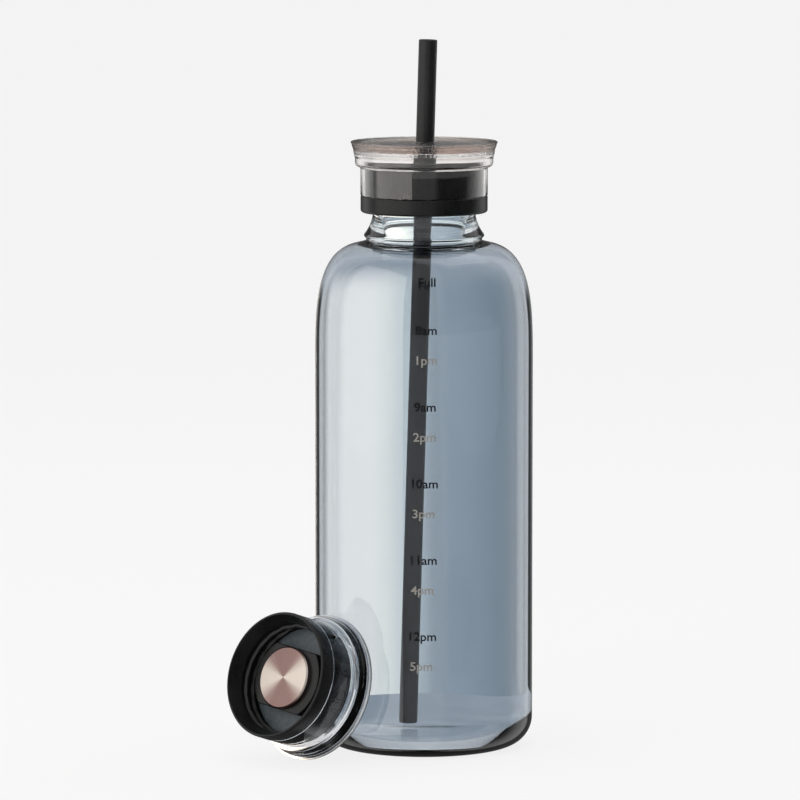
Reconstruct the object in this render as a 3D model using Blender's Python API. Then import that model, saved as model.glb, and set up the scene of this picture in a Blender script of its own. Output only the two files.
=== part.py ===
"""Glass water bottle with a screw-on straw lid, and its spare closed lid leaning against it.

Frame: +Z up, origin at the centre of the bottle's flat base, straw leaning in the XZ plane.
Constants are in millimetres and degrees, and meshes are made in metres. Each turned piece is an
outline of (radius, height) points in millimetres, spun about its own Z axis.
"""

import math

import bmesh
import bpy
from mathutils import Matrix

MM = 0.001
GAP = 0.3  # clearance left between neighbouring pieces

# Bottle: straight body, round base edge, shoulder closing in as a superellipse.
BODY_R = 42.5
BASE_FILLET = 11.6
WALL = 2.0
FLOOR = 4.5
SHOULDER_Z = 151.2
SHOULDER_TOP = 198.2
SHOULDER_CENTRE_R = 17.1
SHOULDER_POWER = 3.26
NECK_SHOULDER_R = 25.4  # where the shoulder meets the groove at the neck's foot
BEAD_R = 23.4
BEAD_Z = 200.8
NECK_R = 19.9
NECK_Z = 209.5
MOUTH_R = 17.2
MOUTH_Z = 223.7

# Screw thread: one right-handed start, shared by the neck and both caps.
PITCH = 4.0
NECK_THREAD_CREST_R = 21.0
NECK_THREAD_Z = 214.8
NECK_THREAD_TURNS = 1.4
CAP_THREAD_CREST_R = 20.4
CAP_THREAD_TURNS = 1.5
THREAD_FOOT_WIDTH = 1.9
THREAD_CREST_WIDTH = 0.8
THREAD_ROOT_DEPTH = 0.5  # how far a thread's foot reaches into its wall
THREAD_RUN_OUT = 30.0  # degrees over which each end of a thread fades

# Lids: heights count from the lid's lower edge.
LID_Z = 209.8  # lower edge of the fitted lid
RING_R = 24.85
RING_H = 6.3
CAP_R = 23.2
CAP_TOP = 18.1
CAP_PLATE = 2.0
CAP_BORE_R = 21.5
FUNNEL_TOP = 5.4
SHELL_R = 24.8
SHELL_WALL = 1.3
STEP_H = 17.2  # where the shell steps out to its flare
STEP_R = 26.9
STRAW_LID_H = 27.6
STRAW_LID_RIM_R = 28.7
STRAW_LID_PLATE = 3.0
SPARE_LID_H = 24.5
SPARE_LID_RIM_R = 28.9
SPARE_LID_PLATE = 3.3
SEAL_R = 21.2
SEAL_INNER_R = 16.5
SEAL_THICKNESS = 1.6

# Straw, through the middle of the straw lid and leaning a little.
STRAW_R = 3.6
STRAW_BORE_R = 2.6
STRAW_LENGTH = 268.5
STRAW_LEAN = 1.65
STRAW_PIVOT_Z = 224.0  # where the straw's axis crosses the bottle's axis
STRAW_TOP = 53.0  # from the pivot, along the straw
GROMMET_R = 4.4
GROMMET_BORE_R = 3.8
GROMMET_FLANGE_R = 7.0
GROMMET_TOP = 10.1

# Plug and disc inside the spare lid, as depths from its lower edge.
PLUG_R = 16.4
PLUG_FLAT = 12.3  # from the axis to each flat side
PLUG_FACE = 7.3
PLUG_TURN = 6.8
DISC_R = 12.25
DISC_FACE = 5.2

# Spare lid's place: the rim stands on the floor and its upper edge leans on the bottle.
SPARE_FACING = 47.5  # azimuth of the lid's axis, towards its top face
SPARE_TILT = 18.4  # how far that axis dips
SPARE_BEARING = 216.85  # where the rim's centre stands around the bottle
SPARE_DISTANCE = 52.9

FINE = 40  # segments round a large turned piece
COARSE = 24  # segments round a small one


def clear_scene():
    for obj in list(bpy.data.objects):
        bpy.data.objects.remove(obj, do_unlink=True)


def finish(name, color, roughness, metallic=0.0, transmission=0.0):
    material = bpy.data.materials.new(name)
    material.use_nodes = True
    shader = material.node_tree.nodes["Principled BSDF"]
    shader.inputs["Base Color"].default_value = (*color, 1.0)
    shader.inputs["Roughness"].default_value = roughness
    shader.inputs["Metallic"].default_value = metallic
    shader.inputs["Transmission Weight"].default_value = transmission
    return material


def add_object(name, bm, material=None, parent=None):
    """Turns a bmesh, in metres, into a smooth-shaded object."""
    bmesh.ops.remove_doubles(bm, verts=bm.verts[:], dist=0.002 * MM)
    bmesh.ops.recalc_face_normals(bm, faces=bm.faces[:])
    mesh = bpy.data.meshes.new(name)
    bm.to_mesh(mesh)
    bm.free()
    mesh.shade_smooth()
    mesh.set_sharp_from_angle(angle=math.radians(35))
    obj = bpy.data.objects.new(name, mesh)
    bpy.context.scene.collection.objects.link(obj)
    if material:
        mesh.materials.append(material)
    obj.parent = parent
    return obj


def add_frame(name, location, rotation=(0.0, 0.0, 0.0)):
    """An empty that carries the pieces of one lid, or the straw."""
    frame = bpy.data.objects.new(name, None)
    frame.location = location
    frame.rotation_euler = rotation
    bpy.context.scene.collection.objects.link(frame)
    return frame


def turned(outline, segments, closed=False):
    """A bmesh spun from an outline. An open outline starts and ends on the axis."""
    bm = bmesh.new()
    points = [bm.verts.new((r * MM, 0.0, z * MM)) for r, z in outline]
    pairs = list(zip(points, points[1:]))
    if closed:
        pairs.append((points[-1], points[0]))
    edges = [bm.edges.new(pair) for pair in pairs]
    bmesh.ops.spin(
        bm,
        geom=points + edges,
        cent=(0.0, 0.0, 0.0),
        axis=(0.0, 0.0, 1.0),
        angle=math.tau,
        steps=segments,
        use_merge=True,
    )
    return bm


def arc(centre_r, centre_z, radius, start, end, steps):
    """Outline points on a circle, from one angle to another in degrees."""
    points = []
    for step in range(steps + 1):
        angle = math.radians(start + (end - start) * step / steps)
        points.append((centre_r + radius * math.cos(angle), centre_z + radius * math.sin(angle)))
    return points


def shoulder(inset, end_r, steps):
    """Outline points up the shoulder, set in from the outside, ending at a radius."""
    wide = BODY_R - inset - SHOULDER_CENTRE_R
    high = SHOULDER_TOP - inset - SHOULDER_Z
    last = math.acos(((end_r - SHOULDER_CENTRE_R) / wide) ** (SHOULDER_POWER / 2))
    points = []
    for step in range(steps + 1):
        angle = last * step / steps
        r = SHOULDER_CENTRE_R + wide * math.cos(angle) ** (2 / SHOULDER_POWER)
        z = SHOULDER_Z + high * math.sin(angle) ** (2 / SHOULDER_POWER)
        points.append((r, z))
    return points


def thread(name, wall_r, crest_r, start_z, turns):
    """A helical ridge that fades at both ends, as a cutter object for a union."""
    side = 1.0 if crest_r > wall_r else -1.0
    foot_r = wall_r - side * THREAD_ROOT_DEPTH
    steps = round(turns * FINE)
    run_out = THREAD_RUN_OUT / 360 * FINE
    phase = 0.5  # the ridge's sections lie between the wall's own edges
    bm = bmesh.new()
    rings = []
    for step in range(steps + 1):
        height = min(1.0, 0.25 + 0.75 * min(step, steps - step) / run_out)
        top_r = foot_r + (crest_r - foot_r) * height
        middle = start_z + PITCH * step / FINE
        angle = math.tau * (step + phase) / FINE
        section = [
            (foot_r, middle - THREAD_FOOT_WIDTH / 2),
            (top_r, middle - THREAD_CREST_WIDTH / 2),
            (top_r, middle + THREAD_CREST_WIDTH / 2),
            (foot_r, middle + THREAD_FOOT_WIDTH / 2),
        ]
        ring = [(r * math.cos(angle) * MM, r * math.sin(angle) * MM, z * MM) for r, z in section]
        rings.append([bm.verts.new(corner) for corner in ring])
    for lower, upper in zip(rings, rings[1:]):
        for corner in range(4):
            after = (corner + 1) % 4
            bm.faces.new((lower[corner], lower[after], upper[after], upper[corner]))
    bm.faces.new(rings[0])
    bm.faces.new(reversed(rings[-1]))
    return hide(add_object(name, bm))


def hide(obj):
    """Marks a helper that only cuts or joins."""
    obj.hide_render = True
    obj.display_type = "WIRE"
    return obj


def combine(obj, helper, operation):
    modifier = obj.modifiers.new(helper.name, "BOOLEAN")
    modifier.operation = operation
    modifier.solver = "EXACT"
    modifier.object = helper


def bottle_outline():
    groove_z = BEAD_Z - 1.8
    outside = [(0.0, 0.0), *arc(BODY_R - BASE_FILLET, BASE_FILLET, BASE_FILLET, -90, 0, 5)]
    outside += shoulder(0.0, NECK_SHOULDER_R, 9)
    outside += [(BEAD_R - 0.9, groove_z), (BEAD_R, BEAD_Z - 0.4), (BEAD_R, BEAD_Z + 0.4)]
    outside += [(22.2, 202.7), (21.0, 205.1), (20.3, 207.4), (NECK_R, NECK_Z)]
    lip_r = (NECK_R + MOUTH_R) / 2
    half_lip = (NECK_R - MOUTH_R) / 2
    rim = arc(lip_r, MOUTH_Z - half_lip, half_lip, 0, 180, 4)
    inner_fillet = BASE_FILLET - WALL
    inside = shoulder(WALL, MOUTH_R + 2.0, 7)
    inside += [(MOUTH_R, SHOULDER_TOP + 1.0)]
    inside.reverse()
    inside += arc(BODY_R - WALL - inner_fillet, FLOOR + inner_fillet, inner_fillet, 0, -90, 4)
    return outside + rim + inside + [(0.0, FLOOR)]


def make_bottle(glass):
    bottle = add_object("bottle_glass", turned(bottle_outline(), FINE), glass)
    ridge = thread(
        "neck_thread", NECK_R, NECK_THREAD_CREST_R, NECK_THREAD_Z, NECK_THREAD_TURNS
    )
    combine(bottle, ridge, "UNION")


def cap_outline():
    """Threaded inner cap with its skirt ring and the funnel inside the ring."""
    return [
        (0.0, CAP_TOP),
        (CAP_R - 0.7, CAP_TOP),
        (CAP_R, CAP_TOP - 0.7),
        (CAP_R, RING_H),
        (RING_R, RING_H),
        (RING_R, 1.0),
        (RING_R - 0.3, 0.3),
        (RING_R - 0.8, 0.0),
        (RING_R - 1.2, 0.2),
        (CAP_BORE_R, FUNNEL_TOP),
        (CAP_BORE_R, CAP_TOP - CAP_PLATE),
        (0.0, CAP_TOP - CAP_PLATE),
    ]


def make_cap(name, plastic, frame):
    """A cap whose thread sits half a pitch below the neck's thread when the lid is fitted."""
    cap = add_object(name, turned(cap_outline(), FINE), plastic, frame)
    start = NECK_THREAD_Z - LID_Z + PITCH / 2
    ridge = thread(name + "_thread", CAP_BORE_R, CAP_THREAD_CREST_R, start, CAP_THREAD_TURNS)
    ridge.parent = frame
    combine(cap, ridge, "UNION")
    return cap


def shell_outline(height, rim_r, plate):
    """Clear outer shell: straight wall, step, flared head and a thick top plate."""
    inner_r = SHELL_R - SHELL_WALL
    ceiling = height - plate
    flare_foot = STEP_H + 2.0
    flare = height - flare_foot
    return [
        (0.0, height),
        (rim_r - 0.3, height),
        (rim_r, height - GAP),
        (STEP_R + 0.75 * (rim_r - STEP_R), height - 0.2 * flare),
        (STEP_R + 0.3 * (rim_r - STEP_R), height - 0.55 * flare),
        (STEP_R, flare_foot),
        (STEP_R - 0.4, flare_foot - 0.9),
        (STEP_R - 1.3, flare_foot - 1.5),
        (SHELL_R, STEP_H),
        (SHELL_R, RING_H + GAP),
        (inner_r, RING_H + GAP),
        (inner_r, CAP_TOP + 0.5),
        (inner_r + 0.8, CAP_TOP + 1.2),
        (inner_r + 1.0, ceiling - 0.6),
        (inner_r + 0.4, ceiling),
        (0.0, ceiling),
    ]


def seal_outline(inner_r):
    top = CAP_TOP - CAP_PLATE - GAP
    return [
        (inner_r, top),
        (SEAL_R, top),
        (SEAL_R, top - SEAL_THICKNESS),
        (inner_r, top - SEAL_THICKNESS),
    ]


def straw_cutter(name, radius, straw_frame):
    """A rod on the straw's axis that bores the lid's plates."""
    rod = [(0.0, 40.0), (radius, 40.0), (radius, -5.0), (0.0, -5.0)]
    return hide(add_object(name, turned(rod, COARSE), None, straw_frame))


def make_straw_lid(clear, black, silicone, straw_frame):
    frame = add_frame("straw_lid_frame", (0.0, 0.0, LID_Z * MM))
    outline = shell_outline(STRAW_LID_H, STRAW_LID_RIM_R, STRAW_LID_PLATE)
    shell = add_object("straw_lid_shell", turned(outline, FINE), clear, frame)
    combine(shell, straw_cutter("shell_bore", STRAW_R + 0.4, straw_frame), "DIFFERENCE")
    cap = make_cap("straw_lid_cap", black, frame)
    combine(cap, straw_cutter("cap_bore", GROMMET_R + GAP, straw_frame), "DIFFERENCE")
    gasket = turned(seal_outline(SEAL_INNER_R), FINE, closed=True)
    add_object("straw_lid_gasket", gasket, silicone, frame)


def make_straw(black, silicone, straw_frame):
    bottom = STRAW_TOP - STRAW_LENGTH
    tube = [
        (STRAW_BORE_R, STRAW_TOP),
        (STRAW_R, STRAW_TOP),
        (STRAW_R, bottom),
        (STRAW_BORE_R, bottom),
    ]
    add_object("straw", turned(tube, COARSE, closed=True), black, straw_frame)
    sleeve = [
        (GROMMET_BORE_R, GROMMET_TOP),
        (GROMMET_R, GROMMET_TOP),
        (GROMMET_R, 1.5),
        (GROMMET_FLANGE_R, 1.5),
        (GROMMET_FLANGE_R, 0.0),
        (GROMMET_BORE_R, 0.0),
    ]
    add_object("straw_grommet", turned(sleeve, COARSE, closed=True), silicone, straw_frame)


def make_plug(frame, plastic):
    """Round plug with two flats, hanging from the liner in the middle of the spare lid."""
    seal_bottom = CAP_TOP - CAP_PLATE - GAP - SEAL_THICKNESS
    bm = bmesh.new()
    bmesh.ops.create_circle(bm, cap_ends=True, segments=FINE, radius=PLUG_R * MM)
    for vert in bm.verts:
        vert.co.x = max(-PLUG_FLAT * MM, min(PLUG_FLAT * MM, vert.co.x))
        vert.co.z = PLUG_FACE * MM
    depth = seal_bottom - GAP - PLUG_FACE
    grown = bmesh.ops.extrude_face_region(bm, geom=bm.faces[:])
    top = [item for item in grown["geom"] if isinstance(item, bmesh.types.BMVert)]
    bmesh.ops.translate(bm, verts=top, vec=(0.0, 0.0, depth * MM))
    plug = add_object("spare_lid_plug", bm, plastic, frame)
    plug.rotation_euler.z = math.radians(PLUG_TURN)


def make_spare_lid(clear, black, silicone, steel):
    tilt = math.radians(90 + SPARE_TILT)
    facing = math.radians(SPARE_FACING)
    bearing = math.radians(SPARE_BEARING)
    axis = Matrix.Rotation(facing, 3, "Z") @ Matrix.Rotation(tilt, 3, "Y")
    direction = axis.col[2]
    rim_height = SPARE_LID_RIM_R * math.cos(math.radians(SPARE_TILT))
    to_edge = SPARE_LID_H - GAP
    place = (
        (SPARE_DISTANCE * math.cos(bearing) - to_edge * direction.x) * MM,
        (SPARE_DISTANCE * math.sin(bearing) - to_edge * direction.y) * MM,
        (rim_height - to_edge * direction.z) * MM,
    )
    frame = add_frame("spare_lid_frame", place, (0.0, tilt, facing))
    outline = shell_outline(SPARE_LID_H, SPARE_LID_RIM_R, SPARE_LID_PLATE)
    add_object("spare_lid_shell", turned(outline, FINE), clear, frame)
    make_cap("spare_lid_cap", black, frame)
    add_object("spare_lid_liner", turned(seal_outline(0.0), FINE), silicone, frame)
    make_plug(frame, black)
    disc_back = PLUG_FACE - GAP
    disc = [
        (0.0, disc_back),
        (DISC_R, disc_back),
        (DISC_R, DISC_FACE + 0.5),
        (DISC_R - 0.5, DISC_FACE),
        (0.0, DISC_FACE),
    ]
    add_object("spare_lid_disc", turned(disc, FINE), steel, frame)


def main():
    clear_scene()
    glass = finish("smoke_glass", (0.45, 0.52, 0.60), 0.02, transmission=1.0)
    clear = finish("clear_plastic", (0.92, 0.93, 0.94), 0.05, transmission=1.0)
    black = finish("black_plastic", (0.012, 0.012, 0.013), 0.3)
    straw_black = finish("straw_plastic", (0.02, 0.02, 0.021), 0.4)
    silicone = finish("grey_silicone", (0.09, 0.12, 0.14), 0.55)
    steel = finish("turned_steel", (0.74, 0.68, 0.66), 0.3, metallic=1.0)
    make_bottle(glass)
    straw_frame = add_frame(
        "straw_frame", (0.0, 0.0, STRAW_PIVOT_Z * MM), (0.0, math.radians(STRAW_LEAN), 0.0)
    )
    make_straw_lid(clear, black, silicone, straw_frame)
    make_straw(straw_black, silicone, straw_frame)
    make_spare_lid(clear, black, silicone, steel)
    bpy.context.view_layer.update()


main()
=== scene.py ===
"""The looks of a smoke-glass water bottle, its straw lid and spare lid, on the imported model."""
import logging
import math
from collections.abc import Sequence
from dataclasses import dataclass, field
from enum import Enum

import bmesh
import bpy
from mathutils import Euler, Matrix, Vector


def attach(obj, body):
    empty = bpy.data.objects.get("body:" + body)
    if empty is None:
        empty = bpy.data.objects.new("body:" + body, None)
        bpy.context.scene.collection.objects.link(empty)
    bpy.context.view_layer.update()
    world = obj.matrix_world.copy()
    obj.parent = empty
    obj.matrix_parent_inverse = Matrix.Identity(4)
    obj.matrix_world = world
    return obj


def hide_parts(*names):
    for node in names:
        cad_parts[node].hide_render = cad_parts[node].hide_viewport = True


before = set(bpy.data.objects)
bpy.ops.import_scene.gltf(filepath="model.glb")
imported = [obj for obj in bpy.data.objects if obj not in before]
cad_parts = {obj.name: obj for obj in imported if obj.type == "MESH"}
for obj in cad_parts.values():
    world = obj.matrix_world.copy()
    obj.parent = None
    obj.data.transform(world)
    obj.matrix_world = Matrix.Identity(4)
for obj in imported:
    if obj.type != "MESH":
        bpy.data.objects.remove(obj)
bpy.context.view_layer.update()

MM = 0.001
FINE_TURN = 240  # segments of the large turned pieces
SMALL_TURN = 96  # segments of the straw and its sleeve
MERGE = 1e-6  # metres within which a turned shape's points are joined
FINE_MERGE = 1e-7  # the same, for letters and flats
HOLE_EDGE = 0.4  # millimetres round a hole that still count as its wall
WHITE = (1.0, 1.0, 1.0, 1.0)
LOG = logging.getLogger("bottle")

Point = tuple[float, float]
Colour = tuple[float, float, float]
Operand = "Value | bpy.types.NodeSocket | float"


class Body(Enum):
    """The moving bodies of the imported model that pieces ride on."""

    BOTTLE = "bottle"
    LID_SEAL = "lid_seal"
    STRAW_LID = "straw_lid"
    STRAW = "straw"
    SPARE_LID = "spare_lid"


class Slot(Enum):
    """The record's material slots that the finishes stand for."""

    GLASS = "smoke_glass"
    CLEAR = "clear_plastic"
    BLACK = "black_plastic"
    STRAW = "straw_plastic"
    SILICONE = "grey_silicone"
    STEEL = "turned_steel"
    PRINT = "hour_print"


# ---------------------------------------------------------------- shader writing


class Value:
    """A number in a node tree. Arithmetic on it adds Math nodes."""

    def __init__(self, sheet: "NodeSheet", socket: bpy.types.NodeSocket) -> None:
        """Keep the socket and the tree it belongs to."""
        self.sheet = sheet
        self.socket = socket

    def __add__(self, other: Operand) -> "Value":
        """Return this value plus another."""
        return self.sheet.maths("ADD", self, other)

    def __sub__(self, other: Operand) -> "Value":
        """Return this value less another."""
        return self.sheet.maths("SUBTRACT", self, other)

    def __rsub__(self, other: Operand) -> "Value":
        """Return another value less this one."""
        return self.sheet.maths("SUBTRACT", other, self)

    def __mul__(self, other: Operand) -> "Value":
        """Return this value times another."""
        return self.sheet.maths("MULTIPLY", self, other)

    def __truediv__(self, other: Operand) -> "Value":
        """Return this value over another."""
        return self.sheet.maths("DIVIDE", self, other)

    def __rtruediv__(self, other: Operand) -> "Value":
        """Return another value over this one."""
        return self.sheet.maths("DIVIDE", other, self)

    def __pow__(self, other: Operand) -> "Value":
        """Return this value to a power."""
        return self.sheet.maths("POWER", self, other)

    __radd__ = __add__
    __rmul__ = __mul__


class NodeSheet:
    """A material's or the world's node tree, written from Python."""

    def __init__(self, tree: bpy.types.NodeTree) -> None:
        """Start the tree empty."""
        self.tree = tree
        self.tree.nodes.clear()

    def add(
        self,
        kind: str,
        settings: dict[str, object] | None = None,
        inputs: dict[str | int, object] | None = None,
    ) -> bpy.types.Node:
        """Add a node: its settings first, then the values and links of its sockets.

        Args:
            kind: The node's type.
            settings: The node's own settings. "stops" gives a ramp's (place, colour) pairs.
            inputs: Values, sockets or results of arithmetic, by the sockets' names or numbers.

        Returns:
            The new node.
        """
        node = self.tree.nodes.new(kind)
        for name, setting in (settings or {}).items():
            if name == "stops":
                self.set_stops(node.color_ramp, setting)
            else:
                setattr(node, name, setting)
        for name, given in (inputs or {}).items():
            source = given.socket if isinstance(given, Value) else given
            if isinstance(source, bpy.types.NodeSocket):
                self.tree.links.new(source, node.inputs[name])
            else:
                node.inputs[name].default_value = source
        return node

    @staticmethod
    def set_stops(ramp: bpy.types.ColorRamp, stops: Sequence[tuple[float, Colour]]) -> None:
        """Set a ramp's stops.

        Args:
            ramp: The ramp, with its two first stops.
            stops: Each stop's place and colour, in rising order.
        """
        while len(ramp.elements) < len(stops):
            ramp.elements.new(1.0)
        for element, (place, colour) in zip(ramp.elements, stops):
            element.position = place
            element.color = (*colour, 1.0)

    def maths(
        self, operation: str, first: Operand, second: Operand = 0.0, third: Operand = 0.0
    ) -> Value:
        """Add a Math node.

        Args:
            operation: The node's operation.
            first: Its first value.
            second: Its second value, where it has one.
            third: Its third value, where it has one.

        Returns:
            Its result.
        """
        node = self.add("ShaderNodeMath", {"operation": operation}, {0: first, 1: second, 2: third})
        return Value(self, node.outputs[0])

    def place(self, frame_matrix: Matrix, stretch: Sequence[float] = (1.0, 1.0, 1.0)) -> Value:
        """Give a piece's own coordinates in millimetres.

        Args:
            frame_matrix: Where the piece's axis and datum are.
            stretch: How much longer a pattern is drawn along each of the piece's axes.

        Returns:
            The coordinates, centred and turned on the piece.
        """
        where = self.add("ShaderNodeTexCoord").outputs["Object"]
        turned_back = self.add(
            "ShaderNodeMapping",
            {"vector_type": "TEXTURE"},
            {
                "Vector": where,
                "Location": frame_matrix.to_translation(),
                "Rotation": frame_matrix.to_euler(),
                "Scale": [MM * share for share in stretch],
            },
        )
        return Value(self, turned_back.outputs["Vector"])

    def parts(self, vector: Value) -> tuple[Value, Value, Value]:
        """Split a vector into its three numbers."""
        node = self.add("ShaderNodeSeparateXYZ", None, {"Vector": vector})
        return tuple(Value(self, output) for output in node.outputs)

    def noise(
        self, vector: Value, scale: float, detail: float = 2.0, roughness: float = 0.5
    ) -> Value:
        """Add soft noise.

        Args:
            vector: Where it is read.
            scale: How many spots there are in a millimetre.
            detail: How many finer layers it has.
            roughness: How strong the finer layers are.

        Returns:
            The noise, from 0 to 1.
        """
        inputs = {"Vector": vector, "Scale": scale, "Detail": detail, "Roughness": roughness}
        return Value(self, self.add("ShaderNodeTexNoise", None, inputs).outputs[0])

    def span(self, value: Value, low: float, high: float, start: float, end: float) -> Value:
        """Stretch a value from one range to another, and hold it at the ends.

        Args:
            value: The value.
            low: Where its range starts.
            high: Where its range ends.
            start: What low becomes.
            end: What high becomes.

        Returns:
            The value in its new range, eased at both ends.
        """
        settings = {"interpolation_type": "SMOOTHSTEP"}
        inputs = {"Value": value, "From Min": low, "From Max": high, "To Min": start, "To Max": end}
        return Value(self, self.add("ShaderNodeMapRange", settings, inputs).outputs["Result"])

    def blend(self, share: Value, first: object, second: object) -> bpy.types.NodeSocket:
        """Mix two colours.

        Args:
            share: How much of the second shows.
            first: A colour or a colour socket.
            second: A colour or a colour socket.

        Returns:
            The mixed colour's socket.
        """
        pair = [(*c, 1.0) if isinstance(c, tuple) else c for c in (first, second)]
        node = self.add("ShaderNodeMix", {"data_type": "RGBA"}, {0: share, 6: pair[0], 7: pair[1]})
        return node.outputs[2]

    def bump(self, height: Value, depth: float, below: object = None) -> bpy.types.NodeSocket:
        """Turn a height into a relief.

        Args:
            height: The relief's height, from 0 to 1.
            depth: What 1 stands for, in millimetres.
            below: A coarser relief that this one lies on.

        Returns:
            The normal's socket.
        """
        inputs = {"Height": height, "Strength": 1.0, "Distance": depth * MM}
        if below is not None:
            inputs["Normal"] = below
        return self.add("ShaderNodeBump", None, inputs).outputs["Normal"]

    def surface(self, shader: bpy.types.Node, volume: bpy.types.Node | None = None) -> None:
        """Join a shader, and what fills the piece, to the output.

        Args:
            shader: The surface's shader node.
            volume: The shader of what is inside, if light passes through it.
        """
        inputs = {"Surface": shader.outputs[0]}
        if volume is not None:
            inputs["Volume"] = volume.outputs[0]
        self.add("ShaderNodeOutputMaterial", None, inputs)

    def skin(self, inputs: dict[str, object], volume: bpy.types.Node | None = None) -> None:
        """Dress the piece in one Principled shader.

        Args:
            inputs: The values and links of the shader's sockets.
            volume: The shader of what is inside, if light passes through it.
        """
        self.surface(self.add("ShaderNodeBsdfPrincipled", None, inputs), volume)


# ---------------------------------------------------------------- finishes


@dataclass(frozen=True)
class Finish:
    """What every finish has: its name, its slot, and where its pattern is centred."""

    name: str
    slot: Slot | None = None
    centre: Matrix = field(default_factory=lambda: Matrix.Identity(4))

    def material(self) -> bpy.types.Material:
        """Make the finish as a material.

        Returns:
            The new material.
        """
        made = bpy.data.materials.new(self.name)
        made.use_nodes = True
        self.write(NodeSheet(made.node_tree))
        return made

    def write(self, sheet: NodeSheet) -> None:
        """Write the finish's nodes. Each finish has its own."""
        raise NotImplementedError


@dataclass(frozen=True)
class SmokeGlass(Finish):
    """Blown borosilicate glass with a smoke tint, and the faint waves of its blowing."""

    tint: Colour = (0.52, 0.574, 0.632)  # what one wall lets through
    index: float = 1.49
    wave_depth: float = 0.012
    seed_depth: float = 0.0008

    def write(self, sheet: NodeSheet) -> None:
        """Write a clear refracting surface, tinted, with slow waves and finer seeds along the blow.

        Args:
            sheet: The material's nodes.
        """
        waves = sheet.noise(sheet.place(self.centre, (1.0, 1.0, 3.5)), 0.045, 1.0, 0.4)
        seeds = sheet.noise(sheet.place(self.centre, (1.0, 1.0, 2.0)), 0.5, 1.0)
        relief = sheet.bump(seeds, self.seed_depth, sheet.bump(waves, self.wave_depth))
        sheet.skin({
            "Base Color": (*self.tint, 1.0),
            "Roughness": 0.0,
            "IOR": self.index,
            "Transmission Weight": 1.0,
            "Normal": relief,
        })


@dataclass(frozen=True)
class ClearPlastic(Finish):
    """Clear moulded plastic that warms where it is thick, with flow ripples and a speckled rim."""

    absorbs: Colour = (0.6, 0.49, 0.43)
    density: float = 40.0
    index: float = 1.49
    speckle_up: float = 100.0  # the height in millimetres from which the skin is speckled
    speckle_fade: float = 0.8  # how far up the speckle takes to reach its full depth
    speckle_depth: float = 0.3
    ripple_depth: float = 0.02
    scratch_depth: float = 0.0006

    def write(self, sheet: NodeSheet) -> None:
        """Write a clear surface with flow ripples, scratches and speckle, over a warm depth.

        Args:
            sheet: The material's nodes.
        """
        here = sheet.place(self.centre)
        _, _, up = sheet.parts(here)
        ripples = sheet.noise(here, 0.11, 2.0, 0.45)
        scratches = sheet.noise(sheet.place(self.centre, (1.0, 14.0, 1.0)), 1.6, 2.0)
        relief = sheet.bump(scratches, self.scratch_depth, sheet.bump(ripples, self.ripple_depth))
        speckle_top = self.speckle_up + self.speckle_fade
        speckled = sheet.noise(here, 0.85, 2.0, 0.6)
        speckled *= sheet.span(up, self.speckle_up, speckle_top, 0.0, 1.0)
        absorbed = {"Color": (*self.absorbs, 1.0), "Density": self.density}
        skin = {
            "Base Color": (0.985, 0.985, 0.985, 1.0),
            "Roughness": 0.015,
            "IOR": self.index,
            "Transmission Weight": 1.0,
            "Normal": sheet.bump(speckled, self.speckle_depth, relief),
        }
        sheet.skin(skin, sheet.add("ShaderNodeVolumeAbsorption", None, absorbed))


@dataclass(frozen=True)
class MouldedPlastic(Finish):
    """Opaque moulded plastic: a satin skin with fine grain and long drag marks."""

    dark: Colour = (0.005, 0.0052, 0.0055)
    light: Colour = (0.011, 0.0113, 0.0118)
    gloss: Point = (0.24, 0.4)
    grain_depth: float = 0.006
    drag: float = 26.0  # how long the drag marks are for their width
    matt_up: float = 1000.0  # the height in millimetres above which the skin is matt
    matt_edge: float = 0.15
    matt_gain: float = 0.3  # how much rougher the matt skin is
    index: float = 1.49
    shine: float = 0.26

    def write(self, sheet: NodeSheet) -> None:
        """Write the satin skin: mottled colour, varied gloss, grain, and drag marks along the axis.

        Args:
            sheet: The material's nodes.
        """
        here = sheet.place(self.centre)
        _, _, up = sheet.parts(here)
        mottle = sheet.noise(here, 0.16, 4.0, 0.6)
        drags = sheet.noise(sheet.place(self.centre, (1.0, 1.0, self.drag)), 2.6, 3.0, 0.55)
        grain = sheet.noise(here, 9.0, 2.0, 0.6)
        worn = sheet.maths("MULTIPLY_ADD", drags, 0.5, mottle * 0.5)
        colour = sheet.blend(sheet.span(worn, 0.35, 0.68, 0.0, 1.0), self.dark, self.light)
        matt = sheet.span(up, self.matt_up - self.matt_edge, self.matt_up, 0.0, self.matt_gain)
        relief = sheet.bump(grain, self.grain_depth * 0.5, sheet.bump(drags, self.grain_depth))
        sheet.skin({
            "Base Color": colour,
            "Roughness": sheet.span(worn, 0.3, 0.7, *self.gloss) + matt,
            "IOR": self.index,
            "Specular IOR Level": self.shine,
            "Normal": relief,
        })


@dataclass(frozen=True)
class Silicone(Finish):
    """Soft grey silicone with a chalky skin that holds a little dust."""

    dark: Colour = (0.085, 0.105, 0.118)
    light: Colour = (0.13, 0.155, 0.17)

    def write(self, sheet: NodeSheet) -> None:
        """Write the chalky skin: dust in slow patches over a very fine tooth.

        Args:
            sheet: The material's nodes.
        """
        here = sheet.place(self.centre)
        dust = sheet.noise(here, 0.5, 4.0, 0.65)
        dusty = sheet.span(dust, 0.3, 0.75, 0.0, 1.0)
        tooth = sheet.noise(here, 12.0, 2.0)
        sheet.skin({
            "Base Color": sheet.blend(dusty, self.dark, self.light),
            "Roughness": sheet.span(dust, 0.3, 0.75, 0.42, 0.62),
            "IOR": 1.42,
            "Normal": sheet.bump(tooth, 0.006),
        })


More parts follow.
